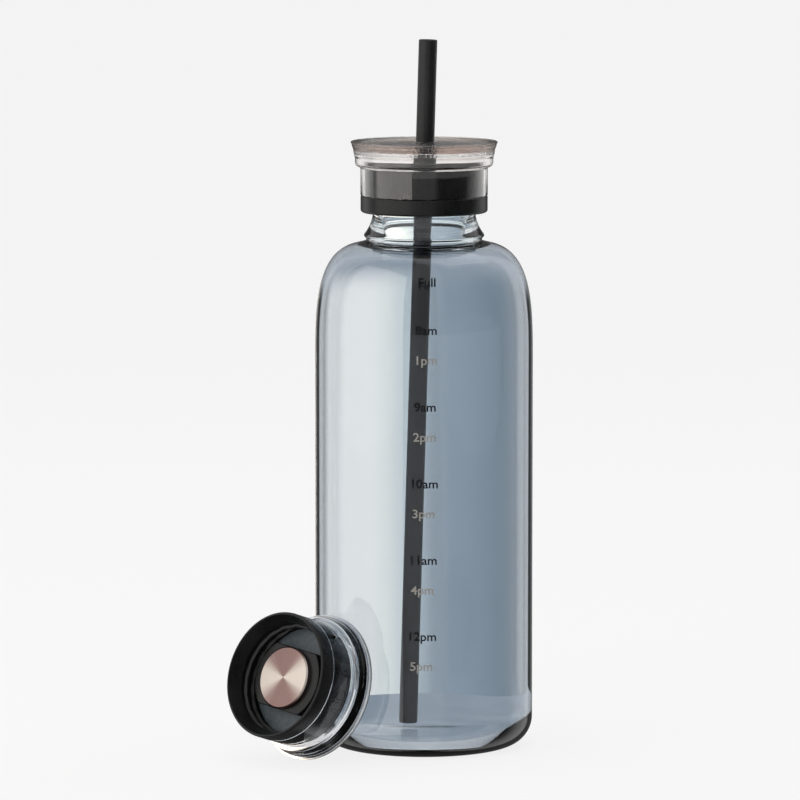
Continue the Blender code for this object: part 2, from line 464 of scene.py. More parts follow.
@dataclass(frozen=True)
class TurnedSteel(Finish):
    """Stainless steel faced on a lathe, with fine rings, and two light wedges of painted reflection
    in its colour.
    """

    # painted reflection: the colours of the two light wedges and of the darker face between them
    bright: Colour = (0.5, 0.45, 0.405)
    painted_dim_reflection: Colour = (0.2, 0.13, 0.12)
    painted_wedge_turn: float = 98.0  # degrees from the face's level line to the wedges' middle

    def write(self, sheet: NodeSheet) -> None:
        """Write the rings of the facing cut, and two light wedges painted into the colour as a
        painted reflection.

        Args:
            sheet: The material's nodes.
        """
        across, up, _ = sheet.parts(sheet.place(self.centre))
        out = sheet.maths("SQRT", across * across + up * up)
        angle = sheet.maths("ARCTAN2", up, across) + math.radians(self.painted_wedge_turn)
        ring_place = sheet.add("ShaderNodeCombineXYZ", None, {"X": out})
        rings = sheet.noise(ring_place.outputs[0], 3.2, 3.0, 0.7)
        # painted reflection: two light wedges across the face, fixed to the disc, not made by the
        # rings
        painted_wedge_highlight = (sheet.maths("COSINE", angle * 2.0) * 0.5 + 0.5) ** 1.6
        streak_place = sheet.add("ShaderNodeCombineXYZ", None, {"X": angle * 3.0, "Y": out * 0.02})
        streak = sheet.noise(streak_place.outputs[0], 1.3, 3.0)
        # painted reflection wedges, with real streak and ring texture over them
        brightness = painted_wedge_highlight + (streak - 0.5) * 0.35 + (rings - 0.5) * 0.3
        lit = sheet.span(brightness, 0.05, 0.95, 0.0, 1.0)
        sheet.skin({
            "Base Color": sheet.blend(lit, self.painted_dim_reflection, self.bright),
            "Metallic": 1.0,
            "Roughness": sheet.span(rings, 0.3, 0.7, 0.24, 0.38),
            "Normal": sheet.bump(rings, 0.02),
        })


@dataclass(frozen=True)
class Ink(Finish):
    """Screen-printed ink: slightly uneven, with the mesh's faint tooth."""

    colour: Colour = (0.004, 0.004, 0.005)
    thin: Colour = (0.012, 0.012, 0.014)

    def write(self, sheet: NodeSheet) -> None:
        """Write ink that is thin in places, over a fine tooth.

        Args:
            sheet: The material's nodes.
        """
        here = sheet.place(self.centre)
        cover = sheet.noise(here, 1.8, 3.0)
        thinned = sheet.span(cover, 0.4, 0.75, 0.0, 1.0)
        sheet.skin({
            "Base Color": sheet.blend(thinned, self.colour, self.thin),
            "Roughness": sheet.span(cover, 0.3, 0.7, 0.4, 0.6),
            "Specular IOR Level": 0.1,
            "Normal": sheet.bump(sheet.noise(here, 14.0), 0.003),
        })


@dataclass(frozen=True)
class GlowingPaper(Finish):
    """A pale paper lit evenly from all round: some of its light is its own."""

    colour: Colour = (0.12, 0.12, 0.12)
    glow: float = 0.83

    def write(self, sheet: NodeSheet) -> None:
        """Write matt paper that also gives off an even light.

        Args:
            sheet: The material's nodes.
        """
        sheet.skin({
            "Base Color": (*self.colour, 1.0),
            "Roughness": 0.9,
            "Specular IOR Level": 0.0,
            "Emission Color": WHITE,
            "Emission Strength": self.glow,
        })


@dataclass(frozen=True)
class LitCard(Finish):
    """A card that only glows, in bands of brightness from one side to the other."""

    bands: tuple[tuple[float, Colour], ...] = ((0.0, (1.0, 1.0, 1.0)), (1.0, (1.0, 1.0, 1.0)))
    half_width: float = 1000.0
    strength: float = 1.0
    fade: Point | None = None  # the heights in millimetres between which the bands go over to plain
    plain: float = 0.93

    def write(self, sheet: NodeSheet) -> None:
        """Write the glow, read across the card in millimetres from its middle.

        Args:
            sheet: The material's nodes.
        """
        across, up, _ = sheet.parts(sheet.place(self.centre))
        share = across / (2 * self.half_width) + 0.5
        stops = [
            (place, tuple(part / self.strength for part in colour)) for place, colour in self.bands
        ]
        ramp = sheet.add("ShaderNodeValToRGB", {"stops": stops}, {"Fac": share})
        glow = ramp.outputs["Color"]
        if self.fade is not None:
            even = tuple(self.plain / self.strength for _ in range(3))
            glow = sheet.blend(sheet.span(up, *self.fade, 0.0, 1.0), glow, even)
        lit = sheet.add("ShaderNodeEmission", None, {"Color": glow, "Strength": self.strength})
        sheet.surface(lit)


@dataclass(frozen=True)
class RoomGlow(Finish):
    """The far walls of the room: pale behind the object, and dark on the camera's side."""

    pale: float = 0.93
    dark: float = 0.05

    def write(self, sheet: NodeSheet) -> None:
        """Write a glow that falls off round the room.

        Args:
            sheet: The material's nodes.
        """
        across, depth, _ = sheet.parts(sheet.place(self.centre))
        off_line = sheet.maths("ARCTAN2", sheet.maths("ABSOLUTE", across), depth) * (180 / math.pi)
        glow = sheet.span(off_line, 75.0, 100.0, self.pale, self.dark)
        lit = sheet.add("ShaderNodeEmission", None, {"Color": WHITE, "Strength": glow})
        sheet.surface(lit)


# ---------------------------------------------------------------- shapes


@dataclass(frozen=True)
class Corner:
    """An outline's corner: how far out, how high, and how much it is rounded, in millimetres."""

    out: float
    up: float
    rounding: float = 0.0


def arc(out: float, up: float, radius: float, start: float, end: float, steps: int) -> list[Corner]:
    """Give points on a circle.

    Args:
        out: How far the circle's middle is from the axis.
        up: How high its middle is.
        radius: Its radius.
        start: The first point's angle in degrees, from straight out.
        end: The last point's angle.
        steps: How many steps there are between them.

    Returns:
        The points, in order.
    """
    angles = [math.radians(start + (end - start) * step / steps) for step in range(steps + 1)]
    return [Corner(out + radius * math.cos(a), up + radius * math.sin(a)) for a in angles]


def ring(outer: float, inner: float, top: float, bottom: float, rounding: float) -> list[Corner]:
    """Give the outline of a plain ring or tube.

    Args:
        outer: Its outer radius.
        inner: Its inner radius.
        top: The height of its upper face.
        bottom: The height of its lower face.
        rounding: How much its edges are rounded.

    Returns:
        The corners, outside first and top down.
    """
    places = ((outer, top), (outer, bottom), (inner, bottom), (inner, top))
    return [Corner(out, up, rounding) for out, up in places]


def smooth_run(knots: Sequence[Point], steps: int = 5) -> list[Corner]:
    """Give points on a smooth curve through a few knots.

    Args:
        knots: The points that the curve passes, with both of its ends.
        steps: How many points each stretch gets.

    Returns:
        The points, both ends included.
    """
    run = [Vector(knot) for knot in knots]
    run = [2 * run[0] - run[1], *run, 2 * run[-1] - run[-2]]
    points = []
    for before, start, end, after in zip(run, run[1:], run[2:], run[3:]):
        for step in range(steps):
            t = step / steps
            spot = start + 0.5 * t * (end - before)
            spot += t * t * (before - 2.5 * start + 2 * end - 0.5 * after)
            spot += t**3 * (1.5 * start - 1.5 * end + 0.5 * after - 0.5 * before)
            points.append(Corner(*spot))
    return [*points, Corner(*knots[-1])]


def rounded(corners: Sequence[Corner], closed: bool, facets: int = 5) -> list[Point]:
    """Round an outline's corners.

    Args:
        corners: The outline's corners in order.
        closed: Whether the last corner is joined to the first.
        facets: How many steps a rounded corner gets.

    Returns:
        The outline's points.
    """
    points: list[Point] = []
    count = len(corners)
    for index, corner in enumerate(corners):
        here = Vector((corner.out, corner.up))
        at_end = not closed and index in (0, count - 1)
        if corner.rounding <= 0.0 or at_end:
            points.append(tuple(here))
            continue
        back = (Vector((corners[index - 1].out, corners[index - 1].up)) - here).normalized()
        ahead_corner = corners[(index + 1) % count]
        ahead = (Vector((ahead_corner.out, ahead_corner.up)) - here).normalized()
        half = back.angle(ahead) / 2
        reach = corner.rounding / math.tan(half)
        middle = here + (back + ahead).normalized() * corner.rounding / math.sin(half)
        first = here + back * reach - middle
        last = here + ahead * reach - middle
        sweep = first.angle_signed(last)
        for step in range(facets + 1):
            turn = Matrix.Rotation(-sweep * step / facets, 2)
            points.append(tuple(middle + turn @ first))
    return points


def turned(corners: Sequence[Corner], segments: int, closed: bool = False) -> bmesh.types.BMesh:
    """Turn an outline round its axis.

    Args:
        corners: The outline's corners, outside first and top down.
        segments: How many segments the turn has.
        closed: Whether the outline is a ring that stays clear of the axis.

    Returns:
        The closed solid, standing on its own axis, in metres.
    """
    bm = bmesh.new()
    points = rounded(corners, closed)
    verts = [bm.verts.new((out * MM, 0.0, up * MM)) for out, up in points]
    pairs = list(zip(verts, verts[1:]))
    if closed:
        pairs.append((verts[-1], verts[0]))
    edges = [bm.edges.new(pair) for pair in pairs]
    bmesh.ops.spin(
        bm,
        geom=verts + edges,
        cent=(0.0, 0.0, 0.0),
        axis=(0.0, 0.0, 1.0),
        angle=math.tau,
        steps=segments,
        use_merge=True,
    )
    bmesh.ops.remove_doubles(bm, verts=bm.verts[:], dist=MERGE)
    bmesh.ops.recalc_face_normals(bm, faces=bm.faces[:])
    return bm


@dataclass(frozen=True)
class Thread:
    """A right-handed ridge that climbs a turned wall, in millimetres from the piece's datum."""

    wall: float
    crest: float
    start: float
    turns: float
    pitch: float = 4.0
    foot: float = 1.8
    tip: float = 0.6
    run_out: float = 0.09  # share of a turn over which each end fades
    on_wall: float = 0.02  # how near the wall a point has to be to be moved

    def share_at(self, angle: float, up: float) -> float:
        """Tell how much of the ridge's height a place on the wall has.

        Args:
            angle: The place's angle round the axis, from 0 to a full turn, in radians.
            up: Its height in millimetres.

        Returns:
            The share, from 0 to 1.
        """
        best = 0.0
        for lap in range(math.ceil(self.turns) + 1):
            along = angle / math.tau + lap
            if along > self.turns:
                break
            gap = abs(up - self.start - self.pitch * along)
            flank = min(1.0, max(0.0, (self.foot / 2 - gap) / ((self.foot - self.tip) / 2)))
            fade = min(1.0, along / self.run_out, (self.turns - along) / self.run_out)
            best = max(best, flank * flank * (3 - 2 * flank) * fade)
        return best

    def raise_on(self, bm: bmesh.types.BMesh) -> None:
        """Push the points of a turned wall out to the ridge.

        Args:
            bm: The turned piece, standing on its own axis, with close rows where the thread runs.
        """
        for vert in bm.verts:
            out = math.hypot(vert.co.x, vert.co.y) / MM
            if abs(out - self.wall) > self.on_wall:
                continue
            share = self.share_at(math.atan2(vert.co.y, vert.co.x) % math.tau, vert.co.z / MM)
            if share > 0.0:
                grown = (self.wall + (self.crest - self.wall) * share) / out
                vert.co.x *= grown
                vert.co.y *= grown

    def rows(self, margin: float = 1.2, step: float = 0.2) -> list[Corner]:
        """Give the close rows of points that the ridge needs on its wall.

        Args:
            margin: How far the rows go on past the ridge.
            step: How far apart they are.

        Returns:
            The rows as outline points, from the bottom up.
        """
        low = self.start - margin
        count = round((self.turns * self.pitch + 2 * margin) / step)
        return [Corner(self.wall, low + step * row) for row in range(count + 1)]


def make_object(
    name: str, bm: bmesh.types.BMesh, finish: Finish, place: Matrix | None = None
) -> bpy.types.Object:
    """Make a dressed object from a mesh and put it in the scene.

    Args:
        name: The object's name.
        bm: Its mesh, standing on its own axis. It is freed.
        finish: What it is dressed in.
        place: Where its axis and datum are.

    Returns:
        The object.
    """
    if place is not None:
        bmesh.ops.transform(bm, matrix=place, verts=bm.verts[:])
    mesh = bpy.data.meshes.new(name)
    bm.to_mesh(mesh)
    bm.free()
    mesh.materials.append(finish.material())
    made = bpy.data.objects.new(name, mesh)
    bpy.context.scene.collection.objects.link(made)
    return made


def add_piece(
    name: str,
    bm: bmesh.types.BMesh,
    finish: Finish,
    body: Body,
    nodes: Sequence[str] = (),
    place: Matrix | None = None,
    crease: float = 40.0,
) -> bpy.types.Object:
    """Make a finished piece of the object from its mesh.

    Args:
        name: The piece's name.
        bm: Its mesh, standing on its own axis.
        finish: What it is dressed in.
        body: The moving body that it rides on.
        nodes: The model's solids that it stands for.
        place: Where its axis and datum are.
        crease: The angle in degrees past which an edge shows sharp.

    Returns:
        The piece.
    """
    piece = make_object(name, bm, finish, place)
    piece.data.shade_smooth()
    piece.data.set_sharp_from_angle(angle=math.radians(crease))
    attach(piece, body.value)
    if nodes:
        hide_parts(*nodes)
    LOG.info("%s: %d faces on %s", name, len(piece.data.polygons), body.value)
    return piece


# ---------------------------------------------------------------- the bottle


@dataclass
class Bottle:
    """The blown bottle: a straight body, round shoulder, beaded neck foot and threaded neck."""

    body_r: float = 42.5
    base_fillet: float = 11.6
    wall: float = 2.0
    floor: float = 4.5
    punt: float = 0.9
    punt_r: float = 25.0
    shoulder_z: float = 151.2
    shoulder_top: float = 198.2
    shoulder_centre_r: float = 17.1
    shoulder_power: float = 3.26
    shoulder_spacing: float = 1.35  # above 1, the curve's points lie closer near its foot
    neck_shoulder_r: float = 25.4
    inner_shoulder_r: float = 20.2
    inner_dome: float = 0.7
    inner_dome_inset: float = 3.0
    neck_r: float = 19.9
    mouth_r: float = 17.2
    mouth_z: float = 223.7
    thread_z: float = 214.8
    thread_crest: float = 21.0
    thread_turns: float = 1.4
    tint_top: float = 198.9  # the smoke tint stops in the groove under the bead
    neck_tint: Colour = (0.83, 0.88, 0.9)

    def shoulder(self, inset: float, end_r: float, steps: int) -> list[Corner]:
        """Give points up the shoulder, which is squarer than a quarter circle.

        Args:
            inset: How far in from the outside the curve lies.
            end_r: The radius at which it ends.
            steps: How many steps it has.

        Returns:
            The points, from the bottom up.
        """
        wide = self.body_r - inset - self.shoulder_centre_r
        high = self.shoulder_top - inset - self.shoulder_z
        power = self.shoulder_power
        last = math.acos(((end_r - self.shoulder_centre_r) / wide) ** (power / 2))
        angles = [last * (step / steps) ** self.shoulder_spacing for step in range(steps + 1)]
        return [
            Corner(
                self.shoulder_centre_r + wide * math.cos(a) ** (2 / power),
                self.shoulder_z + high * math.sin(a) ** (2 / power),
            )
            for a in angles
        ]

    def dome(self, centre_up: float, rise: float, radius: float, steps: int = 10) -> list[Corner]:
        """Give points on a low dome, from the axis out.

        Args:
            centre_up: The height of the flat that the dome stands on.
            rise: How much higher its middle is.
            radius: Where it meets the flat.
            steps: How many steps it has.

        Returns:
            The points, from the axis out.
        """
        shares = [step / steps for step in range(steps + 1)]
        return [Corner(radius * s, centre_up + rise * (1 - s * s) ** 2) for s in shares]

    def thread(self) -> Thread:
        """Describe the thread on the neck."""
        return Thread(self.neck_r, self.thread_crest, self.thread_z, self.thread_turns)

    def outline(self) -> list[Corner]:
        """Give the bottle's outline.

        Returns:
            The corners, up the outside from the middle of the base and down the inside.
        """
        fillet, inner_fillet = self.base_fillet, self.base_fillet - self.wall
        foot_r = self.body_r - fillet
        lip_r = (self.neck_r - self.mouth_r) / 2
        groove = [(25.0, 197.97), (23.4, 198.45), (22.6, 199.05), (22.75, 199.75), (23.3, 200.35)]
        bead = [(23.45, 200.85), (23.2, 201.45), (22.3, 202.7)]
        neck_sweep = [(21.1, 205.0), (20.35, 207.3), (19.9, 209.6)]
        outside = [
            *self.dome(0.0, self.punt, self.punt_r),
            *arc(foot_r, fillet, fillet, -90, 0, 20),
            *self.shoulder(0.0, self.neck_shoulder_r, 44),
            *smooth_run(groove + bead + neck_sweep, 4),
            *self.thread().rows(),
            *arc(self.neck_r - lip_r, self.mouth_z - lip_r, lip_r, 0, 180, 12),
        ]
        neck_inside = [(self.mouth_r, 200.6), (17.35, 198.6), (17.95, 197.0), (19.2, 196.2)]
        inside = [
            *smooth_run(neck_inside, 5),
            *reversed(self.shoulder(self.wall, self.inner_shoulder_r, 36)),
            *arc(foot_r, self.floor + inner_fillet, inner_fillet, 0, -90, 18),
            *reversed(self.dome(self.floor, self.inner_dome, foot_r - self.inner_dome_inset)),
        ]
        return outside + inside

    def build(self) -> None:
        """Make the glass."""
        bm = turned(self.outline(), FINE_TURN)
        self.thread().raise_on(bm)
        for face in bm.faces:
            face.material_index = int(face.calc_center_median().z > self.tint_top * MM)
        finish = SmokeGlass("smoke_glass", Slot.GLASS)
        glass = add_piece("bottle", bm, finish, Body.BOTTLE, ["bottle_glass"], crease=60.0)
        neck = SmokeGlass("neck_glass", Slot.GLASS, tint=self.neck_tint)
        glass.data.materials.append(neck.material())


@dataclass
class HourMarks:
    """The hours printed up the bottle's front: the morning's dark, and the afternoon's pale."""

    bottle_r: float
    letter_size: float = 4.7
    widen: float = 1.08  # how much wider the letters are drawn than their height asks
    weight: float = 0.07  # how far the strokes are thickened on each side
    ink_depth: float = 0.05
    ink_gap: float = 0.02  # how far the ink stands off the glass
    full_z: float = 185.9
    morning_z: float = 167.4
    afternoon_z: float = 155.8
    hour_step: float = 29.7
    lean: float = 0.014  # how far the column drifts sideways as it climbs
    lean_z: float = 120.0

    def word(self, text: str, up: float) -> bmesh.types.BMesh:
        """Set a word and wrap it round the front of the bottle.

        Args:
            text: The word.
            up: The height of its middle in millimetres.

        Returns:
            The word's mesh, in place.
        """
        setting = bpy.data.curves.new(text, "FONT")
        setting.body = text
        setting.size = self.letter_size * MM
        setting.extrude = self.ink_depth / 2 * MM
        setting.offset = self.weight * MM
        setting.resolution_u = 5
        setting.align_x = "CENTER"
        setting.align_y = "CENTER"
        holder = bpy.data.objects.new(text, setting)
        bpy.context.scene.collection.objects.link(holder)
        evaluated = holder.evaluated_get(bpy.context.evaluated_depsgraph_get())
        mesh = bpy.data.meshes.new_from_object(evaluated)
        bpy.data.objects.remove(holder)
        bm = bmesh.new()
        bm.from_mesh(mesh)
        bpy.data.meshes.remove(mesh)
        bmesh.ops.remove_doubles(bm, verts=bm.verts[:], dist=FINE_MERGE)
        side = self.lean * (up - self.lean_z)
        for vert in bm.verts:
            across = vert.co.x * self.widen + side * MM
            radius = (self.bottle_r + self.ink_gap + self.ink_depth / 2) * MM + vert.co.z
            angle = across / (self.bottle_r * MM)
            high = vert.co.y + up * MM
            vert.co = (radius * math.sin(angle), -radius * math.cos(angle), high)
        return bm

    def column(self, name: str, words: Sequence[tuple[str, float]], finish: Ink) -> None:
        """Make one column of words as one printed piece.

        Args:
            name: The piece's name.
            words: Each word and its height in millimetres.
            finish: Its ink.
        """
        whole = bmesh.new()
        for text, up in words:
            printed = self.word(text, up)
            holder = bpy.data.meshes.new(text)
            printed.to_mesh(holder)
            printed.free()
            whole.from_mesh(holder)
            bpy.data.meshes.remove(holder)
        add_piece(name, whole, finish, Body.BOTTLE)

    def build(self) -> None:
        """Print both columns."""
        morning = [("Full", self.full_z)]
        for hour, text in enumerate(("8am", "9am", "10am", "11am", "12pm")):
            morning.append((text, self.morning_z - self.hour_step * hour))
        afternoon = []
        for hour in range(5):
            afternoon.append((f"{hour + 1}pm", self.afternoon_z - self.hour_step * hour))
        self.column("hour_marks_morning", morning, Ink("dark_ink", Slot.PRINT))
        pale = Ink("pale_ink", Slot.PRINT, colour=(0.3, 0.29, 0.27), thin=(0.22, 0.21, 0.2))
        self.column("hour_marks_afternoon", afternoon, pale)


# ---------------------------------------------------------------- the lids


@dataclass
class ThreadedCap:
    """The black inner cap of a lid: a drum with a skirt ring round its foot and a thread inside."""

    outer_r: float = 23.2
    ring_r: float = 24.79
    ring_h: float = 6.3
    top: float = 18.1
    plate: float = 2.0
    bore_r: float = 21.5
    funnel_r: float = 23.75
    funnel_top: float = 5.4
    thread_start: float = 7.0
    thread_crest: float = 20.4
    thread_turns: float = 1.5

    def thread(self) -> Thread:
        """Describe the thread in the bore."""
        return Thread(self.bore_r, self.thread_crest, self.thread_start, self.thread_turns)

    def outline(self, hole_r: float) -> list[Corner]:
        """Give the cap's outline.

        Args:
            hole_r: The radius of the hole in its top, or 0.

        Returns:
            The corners, from the middle of the top, down the outside and up the bore.
        """
        ceiling = self.top - self.plate
        edge = 0.25 if hole_r else 0.0
        return [
            Corner(hole_r, self.top, edge),
            Corner(self.outer_r, self.top, 0.7),
            Corner(self.outer_r, self.ring_h, 0.15),
            Corner(self.ring_r, self.ring_h, 0.3),
            Corner(self.ring_r, 0.0, 1.05),
            Corner(self.funnel_r, 0.0, 0.3),
            Corner(self.bore_r, self.funnel_top, 0.6),
            *self.thread().rows(0.9),
            Corner(self.bore_r, ceiling, 0.4),
            Corner(hole_r, ceiling, edge),
        ]

    def mesh(self, hole_r: float = 0.0) -> bmesh.types.BMesh:
        """Turn the cap and cut its thread.

        Args:
            hole_r: The radius of the hole in its top, or 0.

        Returns:
            The cap's mesh, standing on its own axis.
        """
        bm = turned(self.outline(hole_r), FINE_TURN, closed=hole_r > 0.0)
        self.thread().raise_on(bm)
        return bm


@dataclass
class ClearShell:
    """The clear outer shell of a lid: a sleeve, a step, a flared rim and a thick top plate."""

    height: float
    rim_r: float
    plate: float
    sleeve_r: float = 24.8
    sleeve_bore: float = 23.5
    sleeve_foot: float = 6.6
    step_r: float = 26.9
    step_up: float = 19.2
    grooves: int = 3
    groove_depth: float = 0.16
    bore_top: float = 18.6
    head_foot: float = 19.3
    head_foot_r: float = 24.3
    head_r: float = 24.5

    def outline(self, hole_r: float) -> list[Corner]:
        """Give the shell's outline.

        Args:
            hole_r: The radius of the hole in its plate, or 0.

        Returns:
            The corners, from the middle of the top, down the outside and up the inside.
        """
        flare, spread = self.height - self.step_up, self.rim_r - self.step_r
        ceiling = self.height - self.plate
        flared = smooth_run(
            [
                (self.rim_r - 0.12, self.height - 0.55),
                (self.step_r + 0.72 * spread, self.height - 0.2 * flare),
                (self.step_r + 0.3 * spread, self.height - 0.55 * flare),
                (self.step_r, self.step_up),
            ],
            12,
        )
        waves = math.tau * self.grooves / (len(flared) - 1)
        grooved = [
            Corner(c.out - self.groove_depth * (1 - math.cos(waves * index)) / 2, c.up)
            for index, c in enumerate(flared)
        ]
        shank = [
            (self.step_r, self.step_up),
            (self.step_r - 0.35, self.step_up - 0.85),
            (self.step_r - 1.2, self.step_up - 1.4),
            (self.sleeve_r + 0.15, self.step_up - 1.7),
            (self.sleeve_r, self.step_up - 2.5),
        ]
        edge = 0.25 if hole_r else 0.0
        return [
            Corner(hole_r, self.height, edge),
            Corner(self.rim_r - 2.4, self.height, 0.3),
            Corner(self.rim_r - 1.9, self.height - 0.25, 0.3),
            Corner(self.rim_r - 1.2, self.height, 0.3),
            Corner(self.rim_r, self.height, 0.28),
            *grooved[:-1],
            *smooth_run(shank, 5),
            Corner(self.sleeve_r, self.sleeve_foot, 0.25),
            Corner(self.sleeve_bore, self.sleeve_foot, 0.25),
            Corner(self.sleeve_bore, self.bore_top, 0.4),
            Corner(self.head_foot_r, self.head_foot, 0.4),
            Corner(self.head_r, ceiling, 0.6),
            Corner(hole_r, ceiling, edge),
        ]

    def mesh(self, hole_r: float = 0.0) -> bmesh.types.BMesh:
        """Turn the shell."""
        return turned(self.outline(hole_r), FINE_TURN, closed=hole_r > 0.0)


def lean_hole(bm: bmesh.types.BMesh, hole_r: float, pivot_up: float, lean: float) -> None:
    """Shift the walls of a round hole on to a leaning axis.

    Args:
        bm: The turned piece, standing on its own axis.
        hole_r: The hole's radius in millimetres.
        pivot_up: Where the leaning axis crosses the piece's own, in millimetres.
        lean: How far it leans towards +X, in degrees.
    """
    for vert in bm.verts:
        if math.hypot(vert.co.x, vert.co.y) < (hole_r + HOLE_EDGE) * MM:
            vert.co.x += (vert.co.z - pivot_up * MM) * math.tan(math.radians(lean))


@dataclass
class StrawLid:
    """The lid on the bottle: clear shell, black cap, straw sleeve and gasket, with its straw."""

    datum_z: float = 209.8
    seal_r: float = 21.2
    seal_inner_r: float = 16.5
    seal_thickness: float = 1.6
    seal_gap: float = 0.3
    speckle_from: float = 3.6  # how far above the step the shell is speckled
    straw_r: float = 3.6
    straw_bore_r: float = 2.6
    straw_play: float = 0.4
    straw_edge: float = 0.4
    straw_top: float = 53.0
    straw_length: float = 268.5
    lean: float = 1.65
    pivot_z: float = 224.0
    sleeve_r: float = 4.4
    sleeve_bore_r: float = 3.8
    sleeve_top: float = 10.1
    sleeve_play: float = 0.3
    flange_r: float = 7.0
    flange_h: float = 1.5
    cap: ThreadedCap = field(default_factory=ThreadedCap)
    shell: ClearShell = field(default_factory=lambda: ClearShell(27.6, 28.7, 3.0))

    def stand(self) -> Matrix:
        """Tell where the lid's lower edge is."""
        return Matrix.Translation((0.0, 0.0, self.datum_z * MM))

    def straw_stand(self) -> Matrix:
        """Tell where the straw's leaning axis is."""
        turn = Matrix.Rotation(math.radians(self.lean), 4, "Y")
        return Matrix.Translation((0.0, 0.0, self.pivot_z * MM)) @ turn

    def build(self) -> None:
        """Make the lid's pieces and the straw."""
        stand = self.stand()
        pivot = self.pivot_z - self.datum_z
        hole_r = self.straw_r + self.straw_play
        cap_hole_r = self.sleeve_r + self.sleeve_play
        shell = self.shell.mesh(hole_r)
        lean_hole(shell, hole_r, pivot, self.lean)
        speckle_up = self.shell.step_up + self.speckle_from
        clear = ClearPlastic("clear_shell", Slot.CLEAR, stand, speckle_up=speckle_up)
        add_piece("straw_lid_clear", shell, clear, Body.STRAW_LID, ["straw_lid_shell"], stand)
        cap = self.cap.mesh(cap_hole_r)
        lean_hole(cap, cap_hole_r, pivot, self.lean)
        black = MouldedPlastic("cap_black", Slot.BLACK, stand, matt_up=self.cap.top)
        add_piece("straw_lid_black_cap", cap, black, Body.STRAW_LID, ["straw_lid_cap"], stand)
        self.build_gasket(stand)
        self.build_straw()

    def build_gasket(self, stand: Matrix) -> None:
        """Make the sealing ring under the cap's top.

        Args:
            stand: Where the lid is.
        """
        top = self.cap.top - self.cap.plate - self.seal_gap
        seal = ring(self.seal_r, self.seal_inner_r, top, top - self.seal_thickness, 0.3)
        finish = Silicone("gasket_grey", Slot.SILICONE, stand)
        bm = turned(seal, FINE_TURN, closed=True)
        add_piece("lid_gasket", bm, finish, Body.LID_SEAL, ["straw_lid_gasket"], stand)

    def build_straw(self) -> None:
        """Make the straw and the sleeve that holds it."""
        stand = self.straw_stand()
        bottom = self.straw_top - self.straw_length
        tube = ring(self.straw_r, self.straw_bore_r, self.straw_top, bottom, self.straw_edge)
        dark = MouldedPlastic(
            "straw_black",
            Slot.STRAW,
            stand,
            dark=(0.011, 0.011, 0.0115),
            light=(0.021, 0.021, 0.022),
            gloss=(0.3, 0.44),
            grain_depth=0.008,
            drag=40.0,
        )
        bm = turned(tube, SMALL_TURN, closed=True)
        add_piece("straw_tube", bm, dark, Body.STRAW, ["straw"], stand)
        sleeve = [
            Corner(self.sleeve_bore_r, self.sleeve_top, 0.15),
            Corner(self.sleeve_r, self.sleeve_top, 0.25),
            Corner(self.sleeve_r, self.flange_h, 0.2),
            Corner(self.flange_r, self.flange_h, 0.3),
            Corner(self.flange_r, 0.0, 0.3),
            Corner(self.sleeve_bore_r, 0.0, 0.15),
        ]
        dark, light = (0.16, 0.165, 0.165), (0.24, 0.245, 0.245)
        grey = Silicone("sleeve_grey", Slot.SILICONE, stand, dark, light)
        bm = turned(sleeve, SMALL_TURN, closed=True)
        add_piece("straw_sleeve", bm, grey, Body.STRAW_LID, ["straw_grommet"], stand)


